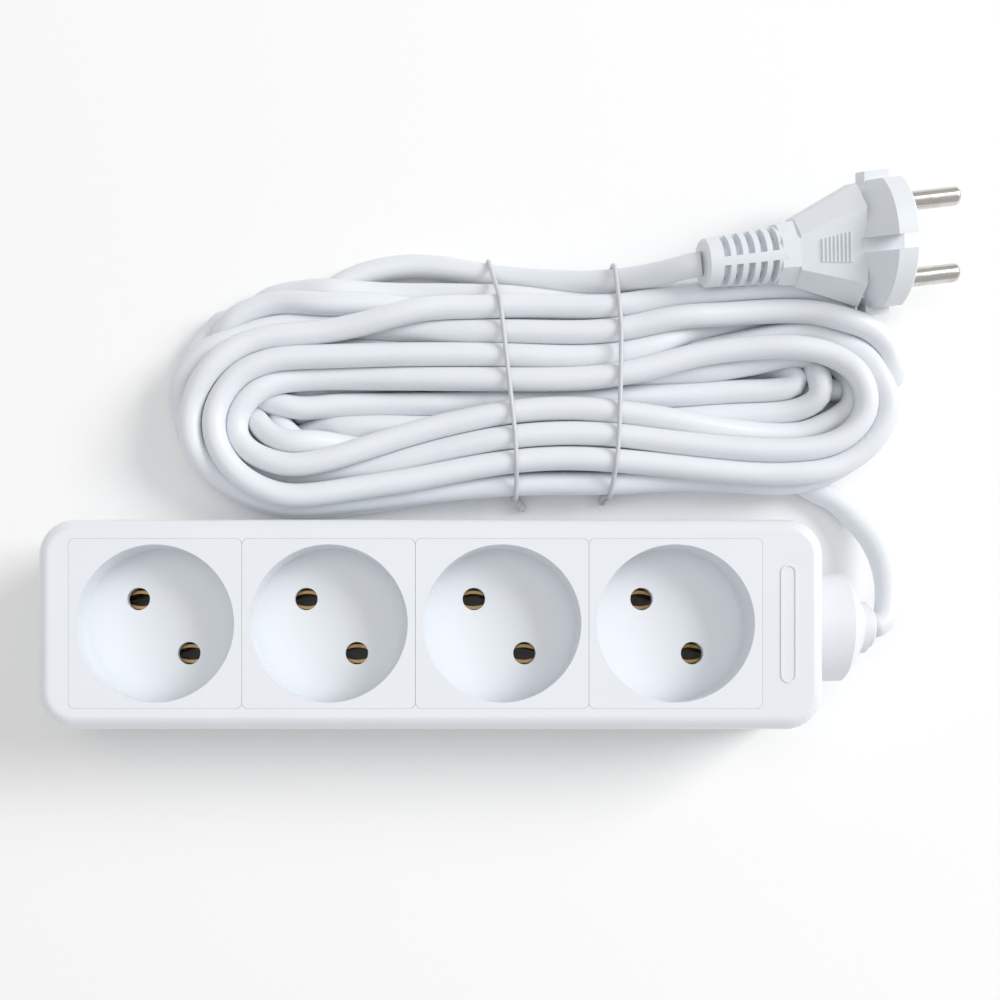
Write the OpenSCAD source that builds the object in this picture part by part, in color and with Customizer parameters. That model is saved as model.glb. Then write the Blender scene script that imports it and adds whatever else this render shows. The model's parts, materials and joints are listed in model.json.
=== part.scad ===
// Four-way extension cord without earth, with its lead folded into a tied hank.
// X runs along the housing towards the lead's exit, Y across it towards the hank, Z up.
// The origin is the middle of the housing's footprint, on the surface it stands on.

/* [Housing] */
// Length of the housing
strip_length = 196; // [195.5:0.5:198]
// Width of the housing
strip_width = 52.5; // [52:0.5:54]
// Height of the housing
strip_height = 34; // [34:0.5:36]
// Thickness of the housing's walls
wall = 2.2; // [1.8:0.1:2.4]
// Plan radius of the housing's corners
corner_radius = 9; // [7:0.5:10]
// Length of the rounded top edge at the two ends
edge_end = 3.4; // [3:0.1:4]
// Width of the rounded top edge at the two long sides
edge_side = 3.4; // [3:0.1:4]
// Height of the rounded top edge
edge_height = 4.5; // [4:0.5:5]
// Thickness of the base plate
base_thickness = 2.6; // [2.2:0.1:2.8]

/* [Sockets] */
// Distance between neighbouring sockets
socket_pitch = 43; // [42.8:0.1:43.2]
// Position of the middle of the socket row
socket_row_x = -3.8; // [-4:0.1:-3.6]
// Diameter of a socket's round recess
recess_d = 39.2; // [39:0.1:39.6]
// Depth of a socket's round recess
recess_depth = 12; // [11.5:0.1:12]
// Distance between the two pins of a plug
pin_spacing = 19; // [19:0.1:19]
// Diameter of the holes for the pins
pin_hole_d = 5.8; // [5.2:0.1:6]
// Angle of the line through a socket's two pin holes
pin_line_angle = 133; // [131:0.5:135]

/* [Contacts] */
// Thickness of a contact leaf
leaf_t = 0.8; // [0.6:0.1:0.8]
// Height of a contact leaf
leaf_h = 10; // [9:0.5:10]
// How far a leaf bows out beside a pin
leaf_bow = 1.6; // [1.4:0.1:1.7]
// Length of one bow
bow_length = 14; // [12:0.5:14]

/* [Lead] */
// Diameter of the lead
cord_d = 6.2; // [6:0.1:6.4]
// Height of the lead's exit above the surface
exit_z = 15; // [15:0.1:15]
// Thickness of the wire ties
tie_d = 1.2; // [1:0.1:1.2]

/* [Plug] */
// Diameter of the plug's flange
flange_d = 35.6; // [35:0.1:36.2]
// Thickness of the flange at its rim
flange_t = 5.5; // [5:0.1:6]
// Diameter of the plug's pins
pin_d = 4.8; // [4.8:0.1:4.8]
// Length of the plug's pins in front of the flange
pin_length = 19; // [18.5:0.1:19]

/* [Hidden] */
$fn = 64;
gap = 0.15;
insert_gap = 0.04;
plastic = [0.93, 0.93, 0.91];
brass = [0.80, 0.64, 0.36];
steel = [0.74, 0.75, 0.77];

// The housing's height up to the rounded edge, and its inside
edge_z = strip_height - edge_height;
ceiling_z = strip_height - wall - 0.3;
// The four sockets and the block that they fill
socket_x = [for (i = [0:3]) socket_row_x + (i - 1.5) * socket_pitch];
insert_x = socket_pitch - 2 * insert_gap;
insert_y = 42.1;
insert_r = 1.5;
insert_floor_t = 2.6;
insert_floor_z = strip_height - recess_depth;
insert_z = insert_floor_z - insert_floor_t;
insert_shell = 1.6;
shoulder_y = 44.6;
shoulder_t = 2.4;
window_x = 4 * socket_pitch;
window_y = insert_y + 2 * insert_gap;
pin_x = cos(pin_line_angle) * pin_spacing / 2;
pin_y = sin(pin_line_angle) * pin_spacing / 2;
// Screw places
boss_x = 92.3;
boss_y = 17;
boss_r = 3.7;
boss_top_z = 19;
screw_r = 1.6;
head_r = 2.9;
// Contact rails: a live one at +Y and a neutral one at -Y
leaf_z = 8;
rail_start = -86;
live_end = 67.5;
neutral_end = 79;
post_half = 2.5;
rivet_offset = 8;
rivet_r = 1;
rivet_head_r = 1.9;
rivet_head_h = 0.7;
terminal_x = 7.5;
terminal_y = 7;
terminal_z = 8;
terminal_grip = 3;
terminal_base_z = 9;
wire_r = 0.55;
terminal_screw_r = 1.5;
terminal_head_r = 2.4;
terminal_head_h = 1.7;
// Clamp behind the gland
clamp_x = 91;
clamp_length = 5;
clamp_width = 22;
clamp_screw_y = 7.8;
clamp_top_z = exit_z + 5;
clamp_split = 0.6;
core_r = 1.15;
core_offset = 1.35;
sheath_x = 87.5;
// Gland
gland_face_x = strip_length / 2;
gland_neck_end = 107.6;
gland_neck_r = 14;
gland_cone_end = 111.4;
gland_ring_r = 6.75;
gland_ring_end = 113.7;
gland_tip_r = 5.25;
gland_tip = 115.3;
gland_hole_r = 11;
gland_flange_r = 13;
gland_flange_start = 93.8;
// Hank: round ends, straight edges and the waist that the ties pull in
hank_left = [-39, 61];
hank_left_r = 30.3;
hank_right = [97.5, 65.3];
hank_right_r = 27.2;
hank_base_z = tie_d + 0.1;
hank_top_z = 17.6;
hank_waist = [[-41, 31], [18, 35.5], [50, 38.5], [95, 38.6],
    [95, 92], [50, 87.6], [20, 89.6], [-41, 91]];
// Route of the lead from the gland to the hank
tail_route = [[115.4, 0, 15], [117.8, 0.9, 14.8], [119.5, 3.6, 14], [120.5, 8.2, 12.4],
    [120.9, 13.2, 10.4], [120.3, 18.6, 8.2], [118.3, 24.2, 6.2], [114.6, 29.6, 4.4],
    [109.4, 34.8, 3.4], [103.4, 38.2, 3.2]];
// Route of the lead from the hank to the plug
lead_route = [[-19, 93.6, 3.2], [-14.5, 95.6, 3.2], [-8, 97.4, 3.2], [-1, 98, 3.2],
    [6, 97.3, 3.4], [15, 95.4, 4.2], [24, 93.9, 5.6], [34, 92.5, 8], [42, 91.6, 10.4],
    [48, 91.4, 12.4], [54, 91.3, 15.2], [59, 91.5, 18], [63.5, 91.9, 20.6],
    [67, 92.4, 22.2], [69.4, 92.7, 22.7]];
// Ties: where each one crosses the far and the near edge of the hank
tie_1_far = [14.8, 99.4];
tie_1_near = [22.4, 34.6];
tie_2_far = [47.6, 95.3];
tie_2_near = [48.4, 37.6];
tie_corner_r = 3;
// Plug: the middle of the flange's front face, and its three turns
plug_at = [118.8, 99.7, 18.3];
plug_heading = 8;
plug_nose_down = 5;
plug_roll = 17;
flange_r = flange_d / 2;
flange_flat = 15.6;
body_end = -11;
neck_start = -26.3;
neck_end = -31;
collar_end = -50;
collar_r_front = 7.2;
collar_r_back = 6;
slot_pitch = 3.1;
slot_w = 1.7;
slot_first = -46;
slot_floor_r = 4.2;
slot_span = 70;
notch_w = 3.6;
notch_floor = 9;
bridge_start = -10;
bridge_end = -5;
pin_root_r = 1.8;
crimp_start = -16;
crimp_r = 1.7;
plug_sheath_start = -30;

// Outline of the housing seen from above, pulled in by a share of the rounded edge
module housing_outline(share, inset) {
    half_x = strip_length / 2 - edge_end * share - inset;
    half_y = strip_width / 2 - edge_side * share - inset;
    r = max(corner_radius - inset - edge_side * share * 0.8, 1.5);
    union() {
        square([2 * half_x - 2 * r, 2 * half_y], center = true);
        square([2 * half_x, 2 * half_y - 2 * r], center = true);
        for (sx = [-1, 1], sy = [-1, 1])
            translate([sx * (half_x - r), sy * (half_y - r)]) circle(r, $fn = 32);
    }
}

// Rounded cap of the housing, as a blend between thin slices along a quarter ellipse
module housing_cap(inset, top_z) {
    hull() for (a = [0:9:90])
        translate([0, 0, edge_z + (top_z - edge_z) * sin(a) - 0.02])
            linear_extrude(0.02) housing_outline(1 - cos(a), inset);
}

module rounded_bar(x, y, z, r) {
    linear_extrude(z) union() {
        square([x - 2 * r, y], center = true);
        square([x, y - 2 * r], center = true);
        for (sx = [-1, 1], sy = [-1, 1]) translate([sx * (x / 2 - r), sy * (y / 2 - r)]) circle(r);
    }
}

module along_x(x, y, z) {
    translate([x, y, z]) rotate([0, 90, 0]) children();
}

module at_bosses() {
    for (sx = [-1, 1], sy = [-1, 1]) translate([sx * boss_x, sy * boss_y, 0]) children();
}

module top_cover() {
    color(plastic) difference() {
        union() {
            linear_extrude(edge_z) housing_outline(0, 0);
            housing_cap(0, strip_height);
            // Moulded oval beside the last socket, one line standing proud
            translate([88.7, 0, strip_height - 0.3]) oval_line();
        }
        difference() {
            union() {
                translate([0, 0, -1]) linear_extrude(edge_z + 1) housing_outline(0, wall);
                housing_cap(wall, ceiling_z);
            }
            at_bosses() cylinder(r = boss_r, h = boss_top_z);
            translate([gland_face_x - 5.5, 0, exit_z]) gland_seat();
        }
        translate([0, 0, -1]) linear_extrude(base_thickness + 1 + 0.1)
            housing_outline(0, wall);
        at_bosses() cylinder(r = screw_r - 0.2, h = boss_top_z - 2.5);
        for (x = socket_x) translate([x, 0, insert_z])
            rounded_bar(socket_pitch + insert_gap / 2, window_y, 20, insert_r);
        along_x(gland_face_x - 12, 0, exit_z) cylinder(r = gland_hole_r + 0.1, h = 20);
    }
}

// Two ribs inside the end wall that hold the gland's flange
module gland_seat() {
    for (side = [-1, 1]) translate([0, side * 15.2, -exit_z]) translate([-1.2, -1, base_thickness])
        cube([1.6, 2, 22]);
}

module oval_line() {
    difference() {
        oval(4.05, 29.4, 0.55);
        translate([0, 0, -0.1]) oval(3.05, 28.4, 1);
    }
}

module oval(w, l, h) {
    linear_extrude(h) union() {
        square([w, l - w], center = true);
        for (s = [-1, 1]) translate([0, s * (l - w) / 2]) circle(w / 2);
    }
}

module base_cover() {
    color(plastic) difference() {
        union() {
            linear_extrude(base_thickness) housing_outline(0, wall + gap);
            // Long ribs that carry the socket inserts
            for (side = [-1, 1]) translate([socket_row_x, side * 15, insert_z / 2])
                cube([window_x - 8, 1.8, insert_z], center = true);
            rail_posts(pin_y, -1);
            rail_posts(-pin_y, 1);
            // Saddle under the clamp and seats for the terminals
            translate([clamp_x - clamp_length / 2, -clamp_width / 2, 0])
                cube([clamp_length, clamp_width, exit_z - clamp_split]);
            terminal_seat(live_end, pin_y);
            terminal_seat(neutral_end, -pin_y);
        }
        at_bosses() translate([0, 0, -1]) cylinder(r = screw_r + 0.2, h = 6);
        at_bosses() translate([0, 0, -0.01]) cylinder(r = head_r + 0.2, h = 1.2);
        for (side = [-1, 1]) translate([side * 60, 0, 0]) keyhole();
        along_x(clamp_x - 5, 0, exit_z) cylinder(r = cord_d / 2 + 0.02, h = 10);
        for (side = [-1, 1]) translate([clamp_x, side * clamp_screw_y, 5])
            cylinder(r = terminal_screw_r, h = 20);
    }
}

// Hole for hanging on a screw head: round entry, and a slot for the shank
module keyhole() {
    translate([0, 0, -1]) cylinder(d = 8, h = base_thickness + 2);
    translate([-8, -2, -1]) cube([8, 4, base_thickness + 2]);
    translate([-8, 0, -1]) cylinder(d = 4, h = base_thickness + 2);
}

// Posts with a slot that holds a pair of leaves between two bows
module rail_posts(y, side) {
    for (i = [0:2]) difference() {
        translate([rail_mid(i, side) - post_half, y - 3.5, 0])
            cube([2 * post_half, 7, leaf_z + leaf_h * 0.7]);
        translate([rail_mid(i, side) - 5, y - leaf_t - gap, leaf_z])
            cube([10, 2 * (leaf_t + gap), leaf_h + 1]);
    }
}

module terminal_seat(x, y) {
    translate([x - terminal_grip + 0.5, y - terminal_y / 2 + 0.5, 0])
        cube([terminal_x - 1, terminal_y - 1, terminal_base_z]);
}

// Middle between two bows of the rail whose bows stand off the socket centres by side
function rail_mid(i, side) = socket_x[i] + socket_pitch / 2 + side * abs(pin_x);

module socket_insert(i) {
    color(plastic) translate([socket_x[i], 0, 0]) difference() {
        union() {
            translate([0, 0, insert_z]) rounded_bar(insert_x, insert_y, strip_height - insert_z, insert_r);
            translate([0, 0, ceiling_z - shoulder_t])
                rounded_bar(insert_x, shoulder_y, shoulder_t, insert_r);
        }
        translate([0, 0, insert_floor_z]) cylinder(d = recess_d, h = 20, $fn = 96);
        // The corners are cored from below, so that every wall stays thin
        difference() {
            translate([0, 0, insert_z - 1])
                rounded_bar(insert_x - 2 * insert_shell, insert_y - 2 * insert_shell, 12.8, 1);
            translate([0, 0, insert_z - 2]) cylinder(r = recess_d / 2 + insert_shell, h = 20, $fn = 96);
        }
        for (s = [-1, 1]) translate([s * pin_x, s * pin_y, insert_z - 1])
            cylinder(d = pin_hole_d, h = 10);
    }
}

// One side of a leaf's outline: flat, with a round bow beside each pin
function bow(t) = leaf_bow * (0.5 + 0.5 * cos(360 * t));
function leaf_line(first, last, side, shift) = concat([[first, shift]],
    [for (i = [0:3], k = [-8:8]) if (socket_x[i] + side * abs(pin_x) + bow_length / 2 < last)
        [socket_x[i] + side * abs(pin_x) + k * bow_length / 16, shift + bow(k / 16)]],
    [[last, shift]]);

module leaf(y, side, turn, last) {
    near_line = leaf_line(rail_start, last, side, gap / 3);
    far_line = leaf_line(rail_start, last, side, gap / 3 + leaf_t);
    color(brass) difference() {
        translate([0, y, leaf_z]) linear_extrude(leaf_h)
            polygon([for (p = concat(near_line, [for (k = [len(far_line) - 1:-1:0]) far_line[k]]))
                [p[0], p[1] * turn]]);
        for (i = [0:2]) translate([rail_mid(i, side) + rivet_offset, y, leaf_z + leaf_h / 2])
            rotate([90, 0, 0]) cylinder(r = rivet_r, h = 6, center = true);
    }
}

module live_leaf_outer() { leaf(pin_y, -1, 1, live_end); }
module live_leaf_inner() { leaf(pin_y, -1, -1, live_end); }
module neutral_leaf_outer() { leaf(-pin_y, 1, -1, neutral_end); }
module neutral_leaf_inner() { leaf(-pin_y, 1, 1, neutral_end); }

module rail_rivets() {
    half = leaf_t + gap / 3;
    color(brass) for (r = [[pin_y, -1], [-pin_y, 1]], i = [0:2])
        translate([rail_mid(i, r[1]) + rivet_offset, r[0], leaf_z + leaf_h / 2]) rotate([90, 0, 0]) {
            cylinder(r = rivet_r, h = 2 * half + rivet_head_h, center = true);
            for (s = [-1, 1]) translate([0, 0, s * (half + rivet_head_h / 2)])
                cylinder(r = rivet_head_r, h = rivet_head_h, center = true);
        }
}

// Brass block: a slot for the leaves, a bore for the wire and a screw from above
module terminal(x, y) {
    color(brass) translate([x - terminal_grip, y, terminal_base_z]) difference() {
        translate([0, -terminal_y / 2, 0]) cube([terminal_x, terminal_y, terminal_z]);
        translate([-1, -leaf_t - gap / 3, -1])
            cube([terminal_grip + 1, 2 * (leaf_t + gap / 3), terminal_z + 2]);
        along_x(terminal_grip + 0.5, 0, 4) cylinder(r = 1.3, h = terminal_x);
        translate([5.3, 0, 4]) cylinder(r = terminal_screw_r, h = terminal_z);
    }
}

module live_terminal() { terminal(live_end, pin_y); }
module neutral_terminal() { terminal(neutral_end, -pin_y); }

module slotted_screw(shank_r, shank_l, top_r, top_h) {
    difference() {
        union() {
            translate([0, 0, -shank_l]) cylinder(r = shank_r, h = shank_l);
            cylinder(r = top_r, h = top_h);
        }
        translate([-top_r - 1, -0.4, top_h * 0.45]) cube([2 * top_r + 2, 0.8, top_h]);
    }
}

module terminal_screws() {
    z = terminal_base_z + terminal_z;
    color(steel) for (p = [[live_end, pin_y], [neutral_end, -pin_y]])
        translate([p[0] - terminal_grip + 5.3, p[1], z])
            slotted_screw(terminal_screw_r, terminal_z - 4 - wire_r, terminal_head_r, terminal_head_h);
}

module housing_screws() {
    color(steel) at_bosses() translate([0, 0, 1.19]) difference() {
        union() {
            cylinder(r = screw_r - 0.2, h = 15);
            translate([0, 0, -1]) cylinder(r = head_r, h = 1);
        }
        translate([-0.4, -2.2, -1.1]) cube([0.8, 4.4, 0.7]);
        translate([-2.2, -0.4, -1.1]) cube([4.4, 0.8, 0.7]);
    }
}

module cord_clamp() {
    color(plastic) difference() {
        translate([clamp_x - clamp_length / 2, -clamp_width / 2, exit_z + clamp_split])
            cube([clamp_length, clamp_width, clamp_top_z - exit_z - clamp_split]);
        along_x(clamp_x - 5, 0, exit_z) cylinder(r = cord_d / 2 + 0.02, h = 10);
        for (side = [-1, 1]) translate([clamp_x, side * clamp_screw_y, 5])
            cylinder(r = terminal_screw_r + 0.1, h = 20);
    }
}

module clamp_screws() {
    color(steel) for (side = [-1, 1]) translate([clamp_x, side * clamp_screw_y, clamp_top_z])
        slotted_screw(terminal_screw_r, 13, 2.4, 1.8);
}

// Stepped bush around the lead: inner flange, neck, cone and two rings
module cord_gland() {
    profile = [[cord_d / 2 + 0.05, gland_flange_start], [gland_flange_r, gland_flange_start],
        [gland_flange_r, gland_face_x - wall - 0.1], [gland_hole_r, gland_face_x - wall - 0.1],
        [gland_hole_r, gland_face_x + 0.1], [gland_neck_r, gland_face_x + 0.1],
        [gland_neck_r, gland_neck_end - 0.6], [gland_neck_r - 0.6, gland_neck_end],
        [gland_ring_r + 0.6, gland_cone_end], [gland_ring_r, gland_cone_end + 0.3],
        [gland_ring_r, gland_ring_end - 0.3], [gland_tip_r, gland_ring_end],
        [gland_tip_r, gland_tip - 0.4], [gland_tip_r - 0.4, gland_tip],
        [cord_d / 2 + 0.05, gland_tip]];
    color(plastic) translate([0, 0, exit_z]) rotate([0, 90, 0]) rotate_extrude($fn = 96) polygon(profile);
}

module sheath_end() {
    color(plastic) along_x(sheath_x, 0, exit_z) cylinder(d = cord_d, h = gland_tip - sheath_x);
}

// Tube along a list of points: rings square to the route, joined into one closed skin
function unit(v) = v / norm(v);
function heading(pts, i) = unit(pts[min(i + 1, len(pts) - 1)] - pts[max(i - 1, 0)]);
function side_of(d) = unit(cross(d, abs(d[2]) > 0.9 ? [0, 1, 0] : [0, 0, 1]));
function ring(p, d, r, sides) = [for (k = [0:sides - 1])
    p + r * cos(360 * k / sides) * side_of(d) + r * sin(360 * k / sides) * cross(side_of(d), d)];
module tube(pts, r, sides) {
    n = len(pts);
    points = [for (i = [0:n - 1]) each ring(pts[i], heading(pts, i), r, sides)];
    skin = [for (i = [0:n - 2], k = [0:sides - 1])
        [i * sides + k, i * sides + (k + 1) % sides, (i + 1) * sides + (k + 1) % sides,
            (i + 1) * sides + k]];
    caps = [[for (k = [sides - 1:-1:0]) k], [for (k = [0:sides - 1]) (n - 1) * sides + k]];
    polyhedron(points, concat(skin, caps), convexity = 10);
}

// Core from the sheath's end to a terminal
module core(x, y, side) {
    z = terminal_base_z + 4;
    tube([[sheath_x, side * core_offset, exit_z], [sheath_x - 2.2, side * (core_offset + 0.6), exit_z - 0.4],
        [(sheath_x + x) / 2 + 1.2, (side * core_offset + y) / 2, (exit_z + z) / 2], [x + 1.6, y, z], [x, y, z]],
        core_r, 8);
}

module brown_core() { color([0.40, 0.22, 0.12]) core(live_end + 5.4, pin_y, 1); }
module blue_core() { color([0.12, 0.32, 0.70]) core(neutral_end + 5.4, -pin_y, -1); }

module core_ends() {
    color([0.83, 0.50, 0.30]) for (p = [[live_end, pin_y], [neutral_end, -pin_y]])
        along_x(p[0] + 1, p[1], terminal_base_z + 4) cylinder(r = wire_r, h = 4.4);
}

module cord_tail() { color(plastic) tube(tail_route, cord_d / 2, 10); }
module cord_lead() { color(plastic) tube(lead_route, cord_d / 2, 10); }

// Outer shape of the folded lead, with a hollow where the plug lies against it
module cord_hank() {
    color(plastic) difference() {
        translate([0, 0, hank_base_z]) linear_extrude(hank_top_z - hank_base_z) union() {
            translate(hank_left) circle(hank_left_r);
            translate(hank_right) circle(hank_right_r);
            polygon(hank_waist);
        }
        plug_place() plug_clearance();
    }
}

module plug_clearance() {
    along_x(collar_end - 6, 0, 0) cylinder(r = collar_r_front + 0.6, h = neck_end - collar_end + 6);
    along_x(neck_end, 0, 0) cylinder(r1 = 9, r2 = 16.4, h = body_end - neck_end);
    along_x(body_end, 0, 0) cylinder(r = flange_r + 0.5, h = 30);
}

// Loop of wire round the hank, with its twisted end at the near side
module wire_tie(far, near) {
    low = tie_d / 2;
    high = hank_top_z + tie_d / 2 + 0.1;
    r = tie_corner_r;
    d = unit(near - far);
    pts = [for (c = [0:3], a = [0:30:90]) let (
        base = c == 0 || c == 3 ? far + d * r : near - d * r,
        cz = c < 2 ? high - r : low + r,
        turn = [180, 90, 0, 270][c] - a)
        [base[0] + d[0] * r * cos(turn), base[1] + d[1] * r * cos(turn), cz + r * sin(turn)]];
    color([0.90, 0.90, 0.88]) {
        closed_tube(pts, tie_d / 2, 8);
        translate([near[0] + d[0] * (low + 0.2), near[1] + d[1] * (low + 0.2), 6])
            rotate([-70, 0, atan2(d[1], d[0]) + 90]) cylinder(r = tie_d, h = 6, center = true, $fn = 16);
    }
}

// Tube whose last ring joins its first one
module closed_tube(pts, r, sides) {
    n = len(pts);
    points = [for (i = [0:n - 1]) each ring_fixed(pts[i],
        unit(pts[(i + 1) % n] - pts[(i + n - 1) % n]), pts, r, sides)];
    skin = [for (i = [0:n - 1], k = [0:sides - 1])
        [i * sides + k, i * sides + (k + 1) % sides, ((i + 1) % n) * sides + (k + 1) % sides,
            ((i + 1) % n) * sides + k]];
    polyhedron(points, skin, convexity = 10);
}
function loop_normal(pts) = unit(cross(pts[4] - pts[0], pts[8] - pts[0]));
function ring_fixed(p, d, pts, r, sides) = [for (k = [0:sides - 1])
    p + r * cos(360 * k / sides) * loop_normal(pts) + r * sin(360 * k / sides) * cross(loop_normal(pts), d)];

module wire_tie_1() { wire_tie(tie_1_far, tie_1_near); }
module wire_tie_2() { wire_tie(tie_2_far, tie_2_near); }

// Everything on the plug is drawn with the flange's front at 0 and the pins along +X
module plug_place() {
    translate(plug_at) rotate([0, 0, plug_heading]) rotate([0, plug_nose_down, 0])
        rotate([plug_roll, 0, 0]) children();
}

// Slice of the plug's grip: flat top and bottom, sloping shoulders, upright sides
module grip_slice(x, half_w, top_w, half_h) {
    translate([x, 0, 0]) rotate([90, 0, 90]) linear_extrude(0.02) polygon([
        [half_w, -half_h * 0.35], [half_w, half_h * 0.35], [top_w, half_h], [-top_w, half_h],
        [-half_w, half_h * 0.35], [-half_w, -half_h * 0.35], [-top_w, -half_h], [top_w, -half_h]]);
}

module plug_flange() {
    intersection() {
        rotate([0, 90, 0]) rotate_extrude($fn = 96) polygon([[0, body_end], [9.4, body_end],
            [flange_r, -flange_t], [flange_r, -0.5], [flange_r - 0.5, 0], [0, 0]]);
        translate([body_end - 1, -flange_flat, -20]) cube([20, 2 * flange_flat, 40]);
    }
    // Guide keys at the two ends of the pin line
    for (s = [-1, 1]) translate([-7.5, s > 0 ? flange_flat - 1.5 : -flange_r, -2.6])
        cube([6.4, flange_r - flange_flat + 1.5, 5.2]);
}

module plug_grip() {
    hull() {
        grip_slice(body_end + 1, 15.2, 9.4, 9.5);
        grip_slice(neck_start, 8.3, 4.2, 7.1);
    }
    hull() {
        grip_slice(neck_start + 0.2, 8, 3.4, 7.1);
        grip_slice(neck_end, 7.4, 3.2, 7);
    }
    for (side = [-1, 1], k = [0:7]) translate([-21 + k * 0.98, 0, side * (8.05 + k * 0.155)])
        cube([0.45, 5.6 + 0.25 * k, 0.5], center = true);
}

module plug_collar() {
    rotate([0, 90, 0]) difference() {
        rotate_extrude($fn = 96) polygon([[0, collar_end], [collar_r_back - 0.6, collar_end],
            [collar_r_back, collar_end + 0.6], [collar_r_front, neck_end + 1.4],
            [slot_floor_r + 1, neck_end + 1.4], [slot_floor_r + 1, neck_end + 3], [0, neck_end + 3]]);
        for (k = [0:4], q = [0:3]) rotate([0, 0, q * 90 + (90 - slot_span) / 2])
            rotate_extrude(angle = slot_span, $fn = 96)
                translate([slot_floor_r, slot_first + k * slot_pitch]) square([6, slot_w]);
    }
}

// The space that the inner pieces fill, and the lead's bore
module plug_core_space() {
    translate([bridge_start, -13, -4]) cube([-bridge_start + bridge_end, 26, 8]);
    for (s = [-1, 1]) {
        along_x(crimp_start, s * pin_spacing / 2, 0) cylinder(r = crimp_r + 0.02, h = 7);
        along_x(bridge_end - 0.1, s * pin_spacing / 2, 0) cylinder(d = pin_d, h = 8);
    }
    // The two cores spread apart towards the crimps
    translate([0, 0, -1.6]) linear_extrude(3.2) polygon([[plug_sheath_start, -3], [-24, -5.6], [-19, -9],
        [crimp_start + 0.1, -10], [crimp_start + 0.1, 10], [-19, 9], [-24, 5.6], [plug_sheath_start, 3]]);
    along_x(collar_end - 1, 0, 0) cylinder(r = cord_d / 2 + 0.02, h = plug_sheath_start - collar_end + 1);
}

module plug_body() {
    color(plastic) plug_place() difference() {
        union() {
            plug_flange();
            plug_grip();
            plug_collar();
        }
        // Clearance for the socket's earth springs, above and below
        for (side = [0, 180]) rotate([side, 0, 0]) {
            translate([-flange_t - 6, -notch_w / 2, notch_floor]) cube([12, notch_w, 12]);
        }
        intersection() {
            plug_core_space();
            translate([collar_end - 2, -13, -8]) cube([60, 26, 16]);
        }
    }
}

module plug_bridge() {
    color([0.86, 0.86, 0.84]) plug_place() difference() {
        translate([bridge_start, -13, -4]) cube([-bridge_start + bridge_end, 26, 8]);
        for (s = [-1, 1]) along_x(bridge_start - 1, s * pin_spacing / 2, 0) cylinder(r = pin_root_r, h = 8);
    }
}

module plug_pin(s) {
    r = pin_d / 2;
    tip = 1.3;
    color(steel) plug_place() translate([0, s * pin_spacing / 2, 0]) rotate([0, 90, 0])
        rotate_extrude() polygon(concat([[0, bridge_start - 1], [pin_root_r, bridge_start - 1],
            [pin_root_r, bridge_end], [r, bridge_end]],
            [for (a = [0:15:90]) [r - tip + tip * cos(a), pin_length - tip + tip * sin(a)]],
            [[0, pin_length]]));
}

module plug_pin_1() { plug_pin(1); }
module plug_pin_2() { plug_pin(-1); }

module plug_crimps() {
    color(brass) plug_place() for (s = [-1, 1]) along_x(crimp_start, s * pin_spacing / 2, 0)
        cylinder(r = crimp_r, h = bridge_start - 1 - crimp_start);
}

module plug_core(s) {
    plug_place() tube([[crimp_start, s * (pin_spacing / 2 - 1.15), 0], [-19, s * 7.2, 0], [-24, s * 3.8, 0],
        [-28, s * 1.6, 0], [plug_sheath_start, s * core_offset, 0]], core_r, 8);
}

module plug_brown_core() { color([0.40, 0.22, 0.12]) plug_core(1); }
module plug_blue_core() { color([0.12, 0.32, 0.70]) plug_core(-1); }

module plug_sheath_end() {
    color(plastic) plug_place() along_x(collar_end, 0, 0)
        cylinder(d = cord_d, h = plug_sheath_start - collar_end);
}

top_cover();
base_cover();
socket_insert(0);  // socket_insert_1
socket_insert(1);  // socket_insert_2
socket_insert(2);  // socket_insert_3
socket_insert(3);  // socket_insert_4
live_leaf_outer();
live_leaf_inner();
neutral_leaf_outer();
neutral_leaf_inner();
rail_rivets();
live_terminal();
neutral_terminal();
terminal_screws();
housing_screws();
cord_clamp();
clamp_screws();
cord_gland();
sheath_end();
brown_core();
blue_core();
core_ends();
cord_tail();
cord_hank();
cord_lead();
wire_tie_1();
wire_tie_2();
plug_body();
plug_bridge();
plug_pin_1();
plug_pin_2();
plug_crimps();
plug_brown_core();
plug_blue_core();
plug_sheath_end();
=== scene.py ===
# %% [markdown]
# # A four-way extension cord
# The object is a white housing with four round sockets, and a lead that is folded into a flat hank and
# ends in a moulded plug. Its hard pieces come from CAD and only need a finish. The lead and the two
# coated wires that tie it are made here, because they are soft and lie where gravity and the ties put
# them. Lengths in this lesson are in metres, and tables in millimetres are multiplied by MM.

# %% Load the fixed frame
import json

import bpy
import numpy as np
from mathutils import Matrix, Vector


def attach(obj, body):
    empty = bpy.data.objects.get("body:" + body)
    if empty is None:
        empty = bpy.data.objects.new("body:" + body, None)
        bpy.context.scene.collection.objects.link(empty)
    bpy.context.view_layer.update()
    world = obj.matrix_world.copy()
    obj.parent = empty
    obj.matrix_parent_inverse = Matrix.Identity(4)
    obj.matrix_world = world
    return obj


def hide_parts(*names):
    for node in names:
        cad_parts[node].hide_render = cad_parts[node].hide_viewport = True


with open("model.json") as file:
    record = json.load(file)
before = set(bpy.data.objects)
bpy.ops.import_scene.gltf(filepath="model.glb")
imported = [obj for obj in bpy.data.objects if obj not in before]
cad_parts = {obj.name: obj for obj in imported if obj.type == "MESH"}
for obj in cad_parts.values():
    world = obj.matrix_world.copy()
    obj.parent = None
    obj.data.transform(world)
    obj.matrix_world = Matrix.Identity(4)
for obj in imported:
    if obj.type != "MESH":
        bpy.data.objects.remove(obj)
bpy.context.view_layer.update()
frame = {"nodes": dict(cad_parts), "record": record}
MM = 0.001

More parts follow.
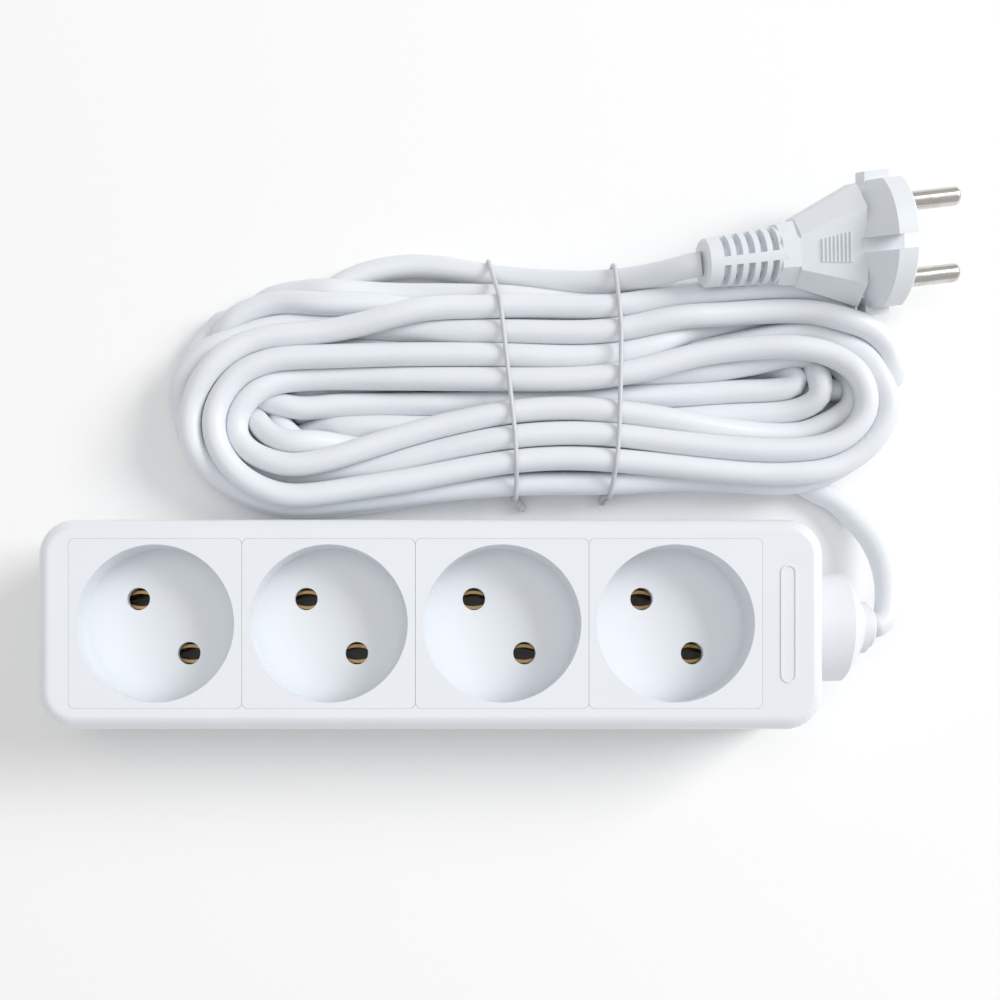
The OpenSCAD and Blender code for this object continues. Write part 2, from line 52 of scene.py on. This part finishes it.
# %% [markdown]
# ## Camera
# The object lies on a table and is seen from straight above. A camera that looks down needs no turning.
# Its view is moved sideways with the lens shift, as with a bellows camera, so that upright walls keep
# leaning away from the point below the lens while the picture stays centred on the object.

# %% Camera above the table
EYE = (-3.8 * MM, -17.7 * MM, 369 * MM)

camera_data = bpy.data.cameras.new("camera_above")
camera_data.sensor_width = 36.0
camera_data.lens = 48.7
camera_data.shift_x = 0.0846
camera_data.shift_y = 0.195
camera = bpy.data.objects.new("camera_above", camera_data)
camera.location = EYE
bpy.context.scene.collection.objects.link(camera)
bpy.context.scene.camera = camera
print("camera height in mm:", round(camera.location.z / MM))

# %% [markdown]
# ## The lead's route
# A hank is one cord laid to and fro: a run to the left on the near side, a fold, a run back on the far
# side, a fold, and so on. It could be simulated from a long straight cord, but nobody folds a hank by
# dropping it. So the runs are laid first, as lanes, and physics only settles them afterwards.
# Each lane gives its distance from the housing and its height at five places along the hank, and each
# fold gives the point where it is furthest out. The lanes that can be seen are the upper ones.

# %% Lanes and folds, in millimetres
LANE_X = (-34.0, 18.0, 49.0, 76.0, 97.0)
LANES = {
    "far_1": ((76.1, 83.6, 84.0, 87.7, 88.7), (15.0, 14.8, 14.8, 14.6, 13.4)),
    "far_2": ((80.2, 77.5, 77.9, 81.5, 83.0), (8.8, 14.8, 14.8, 14.8, 13.6)),
    "far_3": ((70.3, 71.3, 71.6, 79.5, 84.0), (15.4, 14.8, 12.5, 8.8, 8.0)),
    "far_4": ((66.0, 65.0, 66.6, 72.2, 72.4), (10.8, 14.8, 15.0, 15.2, 15.4)),
    "near_1": ((42.6, 55.6, 56.3, 53.2, 51.0), (15.0, 14.8, 14.8, 11.6, 9.6)),
    "near_2": ((41.0, 49.3, 50.0, 46.4, 45.6), (8.8, 14.8, 14.8, 15.2, 15.4)),
    "near_3": ((34.4, 43.0, 43.8, 41.6, 41.0), (14.6, 14.8, 14.6, 13.6, 13.0)),
    "near_4": ((33.3, 38.0, 38.7, 40.4, 39.0), (8.8, 9.6, 9.6, 7.6, 6.8)),
    "inner_low": ((57.3, 60.5, 61.3, 62.0), (8.8, 9.0, 9.0, 8.8)),
    "inner_right": ((52.0, 53.0, 54.5, 55.8), (3.2, 8.8, 8.8, 5.6)),
    "inner_left": ((46.9, 46.6, 47.2, 46.0, 45.4), (8.8, 8.8, 8.8, 8.6, 8.6)),
    "far_5": ((89.9, 88.5, 88.2, 88.6, 88.0), (3.4, 9.0, 8.8, 8.4, 6.4)),
    "far_6": ((86.3, 81.6, 81.4, 83.0, 80.0), (6.8, 8.8, 8.8, 4.0, 3.4)),
    "far_7": ((73.6, 74.9, 74.6, 75.4, 77.4), (8.8, 8.8, 8.8, 9.6, 10.6)),
    "far_8": ((65.0, 68.6, 68.4, 72.0, 74.4), (3.4, 8.8, 8.8, 7.4, 6.0)),
    "low_1": ((34.6, 41.0, 41.6, 43.0, 42.4), (3.2, 3.2, 3.2, 3.2, 3.2)),
    "low_2": ((40.8, 47.2, 47.8, 49.2, 48.6), (3.2, 3.2, 3.2, 3.2, 3.2)),
    "low_3": ((47.0, 53.4, 54.0, 55.2, 54.8), (3.2, 3.2, 3.2, 3.2, 3.2)),
    "low_4": ((58.8, 59.6, 60.2, 61.4, 61.0), (3.2, 3.2, 3.2, 3.2, 3.2)),
    "low_5": ((50.0, 65.8, 66.4, 67.0), (3.2, 3.2, 3.2, 3.2)),
    "low_6": ((83.4, 84.5, 84.4, 88.0, 86.0), (3.2, 3.2, 3.2, 3.2, 3.2)),
    "low_7": ((77.2, 78.2, 78.2, 77.0, 74.0), (3.2, 3.2, 3.2, 3.2, 3.2)),
    "low_8": ((71.0, 72.0, 72.0, 73.2), (3.2, 3.2, 3.2, 3.2)),
}
ORDER = ("low_1", "low_6", "low_2", "low_7", "low_3", "far_5", "near_4", "far_1", "inner_left", "low_8",
         "inner_low", "far_6", "inner_right", "far_7", "near_3", "far_3", "low_4", "far_8",
         "near_1", "far_4", "near_2", "far_2", "low_5")
FOLDS = {
    "low_1": (-66.2, 61, 3.3), "low_6": (121.2, 63, 3.4), "low_2": (-60.0, 59, 3.3),
    "low_7": (112.5, 62, 3.3), "low_3": (-53.8, 60, 3.3), "far_5": (120.8, 62, 7.0),
    "near_4": (-62.6, 54, 12.8), "far_1": (117.0, 62, 6.0), "inner_left": (-53.0, 58, 5.6),
    "low_8": (102.0, 67, 8.6), "inner_low": (-58.0, 70, 8.6), "far_6": (107.0, 66, 7.2),
    "inner_right": (-64.0, 60, 5.0), "far_7": (120.0, 60.0, 14.4), "near_3": (-56.2, 52.3, 15.4),
    "far_3": (110.0, 68, 4.0), "low_4": (-47.0, 62, 3.6), "far_8": (115.2, 61, 9.2),
    "near_1": (-51.8, 52.4, 10.6), "far_4": (114.3, 58.9, 15.4), "near_2": (-65.4, 60, 8.8),
    "far_2": (121.6, 62, 9.0),
}
SEEN = {"far_1", "far_2", "far_3", "far_4", "far_7", "near_1", "near_2", "near_3", "near_4", "inner_low"}
TAIL = ((115.4, 0.0, 15.0), (117.8, 0.9, 14.8), (119.5, 3.6, 14.0), (120.5, 8.2, 12.4),
        (120.9, 13.2, 10.4), (120.3, 18.6, 8.2), (118.3, 24.2, 6.2), (114.6, 29.6, 4.4),
        (109.4, 34.8, 3.4), (103.4, 38.2, 3.2))
LAST_FOLD = ((-42, 58.0, 3.2), (-42.5, 66, 3.2), (-39.0, 74, 3.2), (-33.5, 81, 3.2), (-27, 88, 3.2))
LEAD = ((-19.0, 93.6, 3.2), (-14.5, 95.6, 3.2), (-8.0, 97.4, 3.2), (-1.0, 98.0, 3.2), (6.0, 97.3, 3.4),
        (15.0, 95.4, 4.2), (24.0, 93.9, 5.6), (34.0, 92.5, 8.0), (42.0, 91.6, 10.4), (48.0, 91.4, 12.4),
        (54.0, 91.3, 15.2), (59.0, 91.5, 18.0), (63.5, 91.9, 20.6), (67.0, 92.4, 22.2), (69.4, 92.7, 22.7))
print("runs:", len(ORDER), "folds:", len(FOLDS) + 1)

# %% [markdown]
# A fold is two quarter ellipses that meet at its outermost point. Lanes and folds are then joined by one
# cubic spline and cut into short equal steps, so that every step of the cord weighs the same later on.

# %% Join lanes and folds into one line
def fold_points(start, end, tip):
    """Two quarter ellipses: x goes out with the angle's sine, y and z go over with one minus its cosine."""
    angle = np.radians([22, 42, 60, 76, 90])[:, None]
    tip = np.array(tip)

    def quarter(corner):
        points = corner + (tip - corner) * (1 - np.cos(angle))
        points[:, :1] = corner[0] + (tip[0] - corner[0]) * np.sin(angle)
        return points

    return np.vstack([quarter(start), quarter(end)[-2::-1]])


def laid_route():
    """The whole route as coarse points in mm, with how firmly each one keeps its place, from 0 to 1."""
    lane = {name: np.array(list(zip(LANE_X, *rows))) for name, rows in LANES.items()}
    pieces, firm = [np.array(TAIL)], [np.zeros(len(TAIL))]
    for i, name in enumerate(ORDER):
        run = lane[name] if i % 2 else lane[name][::-1]
        pieces.append(run)
        firm.append(np.full(len(run), float(name in SEEN)))
        if i + 1 < len(ORDER):
            following = lane[ORDER[i + 1]]
            bend = fold_points(run[-1], following[-1] if i % 2 else following[0], FOLDS[name])
            pieces.append(bend)
            firm.append(np.full(len(bend), 0.5 * (name in SEEN) + 0.5 * (ORDER[i + 1] in SEEN)))
    pieces += [np.array(LAST_FOLD), np.array(LEAD)]
    firm.append(np.zeros(len(LAST_FOLD) + len(LEAD)))
    return np.vstack(pieces), np.concatenate(firm)


def spline_steps(points, step, values=None):
    """Natural cubic spline with the square root of each gap as its parameter, cut into equal steps."""
    gaps = np.sqrt(np.linalg.norm(np.diff(points, axis=0), axis=1))
    at = np.r_[0, np.cumsum(gaps)]
    count = len(points)
    matrix = np.diag(np.r_[1, 2 * (gaps[:-1] + gaps[1:]), 1])
    inner = np.arange(1, count - 1)
    matrix[inner, inner - 1] = gaps[:-1]
    matrix[inner, inner + 1] = gaps[1:]
    slopes = np.diff(points, axis=0) / gaps[:, None]
    bend = np.linalg.solve(matrix, np.vstack([np.zeros(3), 6 * np.diff(slopes, axis=0), np.zeros(3)]))
    fine = np.linspace(0, at[-1], count * 40)
    k = np.clip(np.searchsorted(at, fine) - 1, 0, count - 2)
    h = gaps[k][:, None]
    a, b = at[k + 1][:, None] - fine[:, None], fine[:, None] - at[k][:, None]
    line = (bend[k] * a ** 3 + bend[k + 1] * b ** 3) / (6 * h)
    line += (points[k] / h - bend[k] * h / 6) * a + (points[k + 1] / h - bend[k + 1] * h / 6) * b
    along = np.r_[0, np.cumsum(np.linalg.norm(np.diff(line, axis=0), axis=1))]
    cuts = np.linspace(0, along[-1], int(round(along[-1] / step)) + 1)
    steps = np.stack([np.interp(cuts, along, line[:, axis]) for axis in range(3)], 1)
    if values is None:
        return steps
    return steps, np.interp(cuts, np.interp(at, fine, along), values)


STEP = 3.6
laid_points, laid_firmness = laid_route()
laid, firmness = spline_steps(laid_points, STEP, laid_firmness)
print("laid length in mm:", round(STEP * (len(laid) - 1)), "steps:", len(laid))

# %% [markdown]
# ## Settling the cord
# Two runs may not be in the same place, nothing may sink into the table or stick out of the hank, and
# the cord resists bending. Position-based relaxation does this without forces: in each round, steps
# that are closer than a diameter are pushed apart, the shifts are smoothed along the cord, and every
# step drifts back a little to where it was laid. Seen runs keep their place best. The rounds end before
# all is clear: in the lowest layer some folds still share their room.

# %% Relax the laid route
CORD_D = 6.2
TIE_D = 1.2
TIE_X = (19.6, 48.8)
NEAR_EDGE = (33.0, 36.8, 37.8, 38.6)
FAR_EDGE = (90.2, 88.8, 88.6, 89.4)
EDGE_X = (-34.0, 18.0, 49.0, 92.0)
ROUNDS = 400
# round ends of the hank: side, centre x, centre y, half length, half width
ENDS = ((-1, -34.0, 61.6, 32.6, 28.6), (1, 92.0, 64.0, 30.0, 25.4))


def kept_inside(points, hank):
    """Moves points back: up to the table or over a tie's wire, and in to the edges and the round ends."""
    over_ties = sum(TIE_D * np.exp(-((points[:, 0] - x) / 9) ** 2) for x in TIE_X)
    points[:, 2] = np.maximum(points[:, 2], CORD_D / 2 + np.where(hank, over_ties, 0))
    for side, x, y, half_length, half_width in ENDS:
        v = (points[:, :2] - (x, y)) / (half_length, half_width)
        reach = np.linalg.norm(v, axis=1)
        out = (side * v[:, 0] > 0) & (reach > 1) & hank
        points[out, :2] = (x, y) + v[out] * (half_length, half_width) / reach[out, None]
    low, high = np.interp(points[:, 0], EDGE_X, NEAR_EDGE), np.interp(points[:, 0], EDGE_X, FAR_EDGE)
    points[:, 1] = np.where(hank, np.clip(points[:, 1], low, high), points[:, 1])
    return points


def settled(start, firm, apart, rounds):
    """Relaxes the line: a pair that is too close shares the missing length by how free each one is."""
    points, count = start.copy(), len(start)
    index = np.arange(count)
    pinned = (index < 14) | (index > count - 22)
    hank = (index > 22) & (index < count - 32)
    free = np.where(pinned, 0.0, 1.0 - 0.8 * firm)
    drift = (0.01 + 0.05 * firm)[:, None]
    for turn in range(rounds):
        if turn % 8 == 0:
            squares = ((points[:, None] - points[None]) ** 2).sum(2)
            i, j = np.nonzero(np.triu(squares < (1.7 * apart) ** 2, 4))
        between = points[i] - points[j]
        gap = np.linalg.norm(between, axis=1)
        close = gap < apart
        a, b = i[close], j[close]
        push = between[close] * ((apart / np.maximum(gap[close], 1e-6) - 1)
                                 / np.maximum(free[a] + free[b], 0.05))[:, None]
        move, hits = np.zeros_like(points), np.zeros(count)
        np.add.at(move, a, push * free[a, None])
        np.add.at(move, b, -push * free[b, None])
        np.add.at(hits, a, 1)
        np.add.at(hits, b, 1)
        points += 0.8 * move / np.sqrt(np.maximum(hits, 1))[:, None]
        late = turn >= 0.7 * rounds
        shift = points - start
        shift -= (0.25 if late else 1.0) * drift * shift
        smooth = shift.copy()
        smooth[1:-1] = 0.5 * shift[1:-1] + 0.25 * (shift[:-2] + shift[2:])
        shift += (0.2 if late else 0.5) * (smooth - shift)
        points = start + np.where(pinned[:, None], 0, shift)
        straight = points.copy()
        straight[2:-2] = (-points[:-4] + 4 * points[1:-3] + 10 * points[2:-2] + 4 * points[3:-1]
                          - points[4:]) / 16
        points = np.where(pinned[:, None], points, 0.5 * (points + straight))
        points = kept_inside(points, hank)
    return points


route = settled(laid, firmness, 1.01 * CORD_D, ROUNDS)
RING_STEP = 1.8
line = spline_steps(route, RING_STEP)

# %% [markdown]
# ## Tubes along a line
# A round cord is a circle carried along its line. The circle needs a sideways direction at every step:
# here it is the level one, square to the line and to the vertical, which never spins because the cord
# never stands upright. The tube is a grid of steps by sides, so its corners come from whole arrays.

# %% Make a mesh from a grid
def add_piece(name, points, faces, uv=None, material=None):
    """A piece at the origin, from corner points in metres and rows of corner numbers."""
    mesh = bpy.data.meshes.new(name)
    mesh.from_pydata(points.tolist(), [], faces)
    if uv is not None:
        mesh.uv_layers.new(name="along").data.foreach_set("uv", np.asarray(uv, np.float32).ravel())
    mesh.polygons.foreach_set("use_smooth", np.ones(len(mesh.polygons), bool))
    mesh.update()
    piece = bpy.data.objects.new(name, mesh)
    bpy.context.scene.collection.objects.link(piece)
    if material:
        mesh.materials.append(material)
    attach(piece, "root")
    return piece


def tube_grid(points, radius, sides, up=(0, 0, 1)):
    """Corners and faces of a tube: line point + radius * (cosine * sideways + sine * upwards)."""
    ahead = np.gradient(points, axis=0)
    ahead /= np.linalg.norm(ahead, axis=1)[:, None]
    side = np.cross(np.array(up, float), ahead)
    side /= np.linalg.norm(side, axis=1)[:, None]
    rise = np.cross(ahead, side)
    turn = np.linspace(0, 2 * np.pi, sides, endpoint=False)
    ring = side[:, None] * np.cos(turn)[None, :, None] + rise[:, None] * np.sin(turn)[None, :, None]
    corners = (points[:, None] + radius * ring).reshape(-1, 3)
    step, k = np.meshgrid(np.arange(len(points) - 1), np.arange(sides), indexing="ij")
    after = (k + 1) % sides
    quads = np.stack([step * sides + k, step * sides + after, (step + 1) * sides + after,
                      (step + 1) * sides + k], -1).reshape(-1, 4)
    ends = [list(range(sides))[::-1], list(range(len(corners) - sides, len(corners)))]
    along = np.r_[0, np.cumsum(np.linalg.norm(np.diff(points, axis=0), axis=1))]
    u = np.stack([k, k + 1, k + 1, k], -1) / sides
    v = np.stack([along[step], along[step], along[step + 1], along[step + 1]], -1)
    uv = np.vstack([np.stack([u, v], -1).reshape(-1, 2), np.zeros((2 * sides, 2))])
    return corners, quads.tolist() + ends, uv


# %% The lead as one tube
LEAD_SIDES = 24
corners, faces, uv = tube_grid(line * MM, CORD_D / 2 * MM, LEAD_SIDES)
lead = add_piece("lead", corners, faces, uv)
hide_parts("cord_tail", "cord_hank", "cord_lead")
print("lead:", len(faces), "faces")

# %% [markdown]
# ## Wire ties
# Each tie is a coated wire pulled tight round the bundle and twisted at the near side. Pulled tight
# means that its cross-section path is the outline a rubber band would take round all the cords: their
# convex hull. The hull of circles is easy to find by turning a direction through a full circle and
# asking which cord reaches furthest that way, so no loop over cords is needed.

# %% Wire round the bundle
TIE_PLANS = {
    # across the hank, from the near edge to the far one: y, and the x that the wire has there
    "wire_tie_1": ((30.0, 34.1, 45.8, 58.7, 71.7, 84.7, 100.4), (22.9, 22.8, 22.3, 21.5, 20.2, 18.1, 15.5)),
    "wire_tie_2": ((32.0, 36.6, 51.0, 63.9, 74.3, 84.7, 96.0), (47.6, 47.9, 49.0, 49.5, 49.7, 48.9, 48.0)),
}
# where each twist points, its length, and the steps and sides of the wire's mesh
TWISTS = {"wire_tie_1": ((0.62, -0.74, -0.26), 4.6), "wire_tie_2": ((-0.35, -0.70, -0.62), 3.0)}
WIRE_STEP = 0.35
WIRE_SIDES = 12
SLICE = 2.0


def taut_loop(plan):
    """Rubber-band path: for each direction, the middle of the cord furthest that way, plus one radius."""
    plan_y, plan_x = plan
    near = np.abs(route[:, 0] - np.interp(route[:, 1], plan_y, plan_x)) < SLICE
    middles = route[near][:, 1:]
    turn = np.radians(np.arange(200, 200 + 361, 2.5))
    direction = np.stack([np.cos(turn), np.sin(turn)], 1)
    reach = middles @ direction.T
    loop = middles[reach.argmax(0)] + (CORD_D + TIE_D) / 2 * direction
    loop[:, 1] = np.maximum(loop[:, 1], TIE_D / 2)
    return np.column_stack([np.interp(loop[:, 0], plan_y, plan_x), loop])


def twisted_pair(start, axis, length, phase):
    """Half of a twist: start + way along the axis + a helix of the wire's own radius, wound two turns."""
    axis = np.array(axis) / np.linalg.norm(axis)
    side = np.cross(axis, (0, 1, 0.3))
    side /= np.linalg.norm(side)
    other = np.cross(axis, side)
    way = np.linspace(0, 1, 40)[:, None]
    angle = 2 * np.pi * 2.0 * way + phase
    helix = 0.5 * TIE_D * (np.cos(angle) * side + np.sin(angle) * other)
    points = start + length * way * axis + helix * np.minimum(1, way * 8)
    points[:, 2] = np.maximum(points[:, 2], TIE_D / 2 + 0.1)
    return points


ties = []
for name, plan in TIE_PLANS.items():
    loop = taut_loop(plan)
    first = twisted_pair(loop[0], *TWISTS[name], 0.0)[::-1]
    last = twisted_pair(loop[-1], *TWISTS[name], np.pi)
    path = np.vstack([first[:-1], loop, last[1:]])
    keep = np.r_[True, np.linalg.norm(np.diff(path, axis=0), axis=1) > 0.05]
    path = spline_steps(path[keep], WIRE_STEP)
    corners, faces, uv = tube_grid(path * MM, TIE_D / 2 * MM, WIRE_SIDES, up=(1, 0.02, 0.01))
    tie = add_piece("coated_" + name, corners, faces, uv)
    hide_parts(name)
    ties.append(tie)
    print(tie.name, "wire length in mm:", round(WIRE_STEP * (len(path) - 1)),
          "top:", round(path[:, 2].max(), 1))

# %% [markdown]
# ## Writing shaders as sums
# A shader graph is arithmetic with pictures of wires. Wrapped in a small class, a socket can be added
# and multiplied like a number, and each expression leaves its Math nodes behind.

# %% One class for shader sockets
class Wire:
    """One output socket; arithmetic on it makes Math nodes."""

    def __init__(self, tree, socket):
        self.tree, self.socket = tree, socket

    def node(self, kind, settings=None, **inputs):
        """Any other node: its settings first (stops= for a ramp), then its sockets by name or number."""
        made = self.tree.nodes.new("ShaderNode" + kind)
        settings = dict(settings or {})
        stops = settings.pop("stops", None)
        for name, value in settings.items():
            setattr(made, name, value)
        if stops:
            ramp = made.color_ramp
            while len(ramp.elements) < len(stops):
                ramp.elements.new(1.0)
            for element, (place, shade) in zip(ramp.elements, stops):
                element.position, element.color = place, (shade, shade, shade, 1)
        for name, value in inputs.items():
            socket = made.inputs[int(name[1:]) if name[1:].isdigit() else name.replace("_", " ")]
            if isinstance(value, Wire):
                self.tree.links.new(value.socket, socket)
            else:
                socket.default_value = value
        return made

    def out(self, kind, settings=None, output=0, **inputs):
        """The chosen output of a new node, wrapped."""
        return Wire(self.tree, self.node(kind, settings, **inputs).outputs[output])

    def math(self, operation, *values):
        return self.out("Math", {"operation": operation}, **{f"i{k}": v for k, v in enumerate(values)})

    def __add__(self, other):
        return self.math("ADD", self, other)

    def __sub__(self, other):
        return self.math("SUBTRACT", self, other)

    def __rsub__(self, other):
        return self.math("SUBTRACT", other, self)

    def __mul__(self, other):
        return self.math("MULTIPLY", self, other)

    __radd__, __rmul__ = __add__, __mul__

    def stretched(self, x, y, z):
        """The same coordinates times (x, y, z)."""
        return self.out("VectorMath", {"operation": "MULTIPLY"}, i0=self, i1=(x, y, z))

    def noise(self, scale, detail=3.0, roughness=0.55):
        return self.out("TexNoise", Vector=self, Scale=scale, Detail=detail, Roughness=roughness)

    def between(self, low, high):
        """0 below low, 1 above high, and a smooth step from one to the other."""
        return self.out("MapRange", {"interpolation_type": "SMOOTHSTEP"}, Value=self,
                        From_Min=low, From_Max=high)

    def tint(self, dark, light):
        """A colour that goes from dark to light as the value goes from 0 to 1."""
        return self.out("Mix", {"data_type": "RGBA"}, output=2, Factor=self, i6=(*dark, 1), i7=(*light, 1))


# %% Start a material and close it
def new_material(name):
    """An empty material, with its object coordinates as a Wire to start from."""
    material = bpy.data.materials.new(name)
    material.use_nodes = True
    material.node_tree.nodes.clear()
    wire = Wire(material.node_tree, None)
    return material, wire.out("TexCoord", output="Object")


def close_material(material, start, colour, roughness, height, depth, **fixed):
    """Principled shader and output. Height is a Wire in 0..1 and depth says how many metres 1 is."""
    bump = start.out("Bump", Height=height, Distance=depth, Strength=1.0)
    shader = start.out("BsdfPrincipled", Base_Color=colour, Roughness=roughness, Normal=bump, **fixed)
    start.node("OutputMaterial", Surface=shader)
    return material

# %% [markdown]
# ## Plastics
# Moulded plastic is never quite even. Its tone drifts over centimetres, the tool leaves a fine grain,
# and handling leaves polished patches and hairline scuffs. Each of these is one noise at its own scale:
# the slow one tints, the middle one changes the gloss, and the fine ones only bend the normal.

# %% White and coloured plastics
def moulded_plastic(name, colour, gloss, grain, coat=0.0):
    """Tone = slow noise, roughness = gloss + patches + scuffs, height = grain + long waves + scuffs."""
    material, here = new_material(name)
    slow = here.noise(28.0, 3.0)
    patches = here.noise(85.0, 4.0)
    fine = here.noise(2600.0, 2.0)
    scuffs = here.stretched(1.0, 0.06, 0.5).noise(900.0, 3.0).between(0.66, 0.74) * patches.between(0.5, 0.62)
    light = tuple(min(1.0, c * 1.015) for c in colour)
    dark = tuple(c * k for c, k in zip(colour, (0.965, 0.962, 0.95)))
    tone = (0.65 * slow + 0.35 * patches - 0.04 * scuffs).tint(dark, light)
    rough = gloss - 0.06 + 0.12 * patches + 0.10 * scuffs
    height = (1 - grain) * here.noise(160.0, 2.0) + grain * fine - 0.1 * scuffs
    return close_material(material, here, tone, rough, height, 0.00005, IOR=1.49, Coat_Weight=coat,
                          Coat_Roughness=0.12)


def cable_sheath(name, colour, along_uv):
    """Soft extruded PVC: lines that run along the cord, slight rings where it was bent, and faint grime."""
    material, here = new_material(name)
    if along_uv:
        place = here.out("UVMap", {"uv_map": "along"})
        lines = place.stretched(60.0, 4.0, 1.0).noise(1.0, 3.0)
        rings = place.stretched(0.6, 420.0, 1.0).noise(1.0, 2.0)
    else:
        lines, rings = here.stretched(0.1, 1.0, 1.0).noise(900.0, 3.0), here.noise(420.0, 2.0)
    grime = here.noise(60.0, 4.0).between(0.42, 0.75)
    fine = here.noise(3200.0, 2.0)
    dark = tuple(c * k for c, k in zip(colour, (0.955, 0.952, 0.935)))
    tone = (1 - 0.6 * grime - 0.2 * lines).tint(dark, colour)
    rough = 0.36 + 0.14 * lines + 0.10 * grime
    height = 0.45 * lines + 0.3 * rings + 0.25 * fine
    return close_material(material, here, tone, rough, height, 0.00008, IOR=1.53)


def drawn_metal(name, colour, gloss, stretch, stain):
    """Rolled, turned or plated metal: streaks along the work's direction, and a stain that dulls it."""
    material, here = new_material(name)
    streaks = here.stretched(*stretch).noise(1500.0, 4.0)
    blotch = here.noise(170.0, 4.0)
    stained = blotch.between(0.52, 0.74)
    fine = here.noise(4200.0, 2.0)
    dark = tuple(c * k for c, k in zip(colour, stain))
    tone = (1 - 0.75 * stained - 0.25 * streaks).tint(dark, colour)
    rough = gloss + 0.14 * streaks + 0.12 * stained
    height = 0.7 * streaks + 0.3 * fine
    return close_material(material, here, tone, rough, height, 0.00002, Metallic=1.0)


FINISHES = {
    "housing_plastic": moulded_plastic("glossy_housing", (0.795, 0.825, 0.868), 0.30, 0.20, 0.25),
    "insert_plastic": moulded_plastic("satin_insert", (0.80, 0.83, 0.87), 0.34, 0.25),
    "base_plastic": moulded_plastic("textured_base", (0.765, 0.79, 0.83), 0.52, 0.70),
    "gland_plastic": moulded_plastic("soft_gland", (0.785, 0.81, 0.85), 0.44, 0.45),
    "clamp_plastic": moulded_plastic("natural_clamp", (0.74, 0.74, 0.71), 0.46, 0.40),
    "plug_plastic": moulded_plastic("soft_plug", (0.775, 0.81, 0.85), 0.42, 0.55),
    "bridge_plastic": moulded_plastic("hard_carrier", (0.78, 0.78, 0.76), 0.38, 0.30),
    "tie_coating": moulded_plastic("tie_wire_coating", (0.62, 0.63, 0.67), 0.32, 0.20),
    "core_brown": moulded_plastic("brown_core", (0.16, 0.07, 0.035), 0.38, 0.30),
    "core_blue": moulded_plastic("blue_core", (0.02, 0.10, 0.36), 0.38, 0.30),
    "cord_sheath": cable_sheath("sheath_inside", (0.79, 0.82, 0.86), False),
    "contact_brass": drawn_metal("rolled_brass", (0.46, 0.31, 0.15), 0.34, (0.08, 1.0, 1.0),
                                 (0.62, 0.55, 0.45)),
    "terminal_brass": drawn_metal("machined_brass", (0.80, 0.61, 0.32), 0.20, (1.0, 0.12, 1.0),
                                  (0.68, 0.6, 0.5)),
    "screw_steel": drawn_metal("zinc_plate", (0.66, 0.68, 0.71), 0.30, (1.0, 1.0, 0.2), (0.72, 0.74, 0.74)),
    "copper": drawn_metal("copper_strands", (0.80, 0.43, 0.27), 0.28, (0.1, 1.0, 1.0), (0.6, 0.5, 0.45)),
    "pin_nickel": drawn_metal("bright_nickel", (0.70, 0.68, 0.64), 0.15, (0.15, 1.0, 1.0), (0.8, 0.78, 0.75)),
}
for subpart in frame["record"]["subparts"]:
    node = frame["nodes"][subpart["node"]]
    node.data.materials.clear()
    node.data.materials.append(FINISHES[subpart["material_slot"]])
lead.data.materials.append(cable_sheath("lead_sheath", (0.79, 0.82, 0.86), True))
for tie in ties:
    tie.data.materials.append(FINISHES["tie_coating"])
print("finishes:", len(FINISHES) + 1)

# %% [markdown]
# ## Table and light
# A white object on a white table is drawn by its shadows alone. One wide soft light from the upper right
# shades the left walls, the table sends light back up from below, and a weak even sky fills the rest.

# %% Table, sky and lights
TABLE_HALF = 3.0
TABLE_Z = -0.0002
table = bpy.data.meshes.new("table")
CORNERS = ((-1, -1), (1, -1), (1, 1), (-1, 1))
table.from_pydata([(x * TABLE_HALF, y * TABLE_HALF, TABLE_Z) for x, y in CORNERS], [], [(0, 1, 2, 3)])
table_top = bpy.data.objects.new("table_top", table)
bpy.context.scene.collection.objects.link(table_top)
paper, here = new_material("white_paper")
paper_tone = here.noise(6.0, 3.0).tint((0.93, 0.93, 0.93), (0.95, 0.95, 0.95))
close_material(paper, here, paper_tone, 0.8 + 0.05 * here.noise(40.0), here.noise(900.0), 0.00002)
table.materials.append(paper)

world = bpy.data.worlds.new("studio")
world.use_nodes = True
world.node_tree.nodes["Background"].inputs["Color"].default_value = (1, 1, 1, 1)
world.node_tree.nodes["Background"].inputs["Strength"].default_value = 0.52
bpy.context.scene.world = world


def soft_light(name, place, aim, size, watts):
    """A square area light at place, turned so that it faces aim."""
    data = bpy.data.lights.new(name, "AREA")
    data.size, data.energy = size, watts
    light = bpy.data.objects.new(name, data)
    light.location = place
    light.rotation_euler = (Vector(aim) - Vector(place)).to_track_quat("-Z", "Y").to_euler()
    bpy.context.scene.collection.objects.link(light)
    return light


soft_light("key_right", (1.9, 0.78, 1.5), (0.0, 0.03, 0.0), 1.2, 40.0)
soft_light("fill_above", (-0.3, 0.1, 1.8), (0.0, 0.03, 0.0), 1.4, 6.0)
bpy.context.scene.view_settings.view_transform = "Standard"
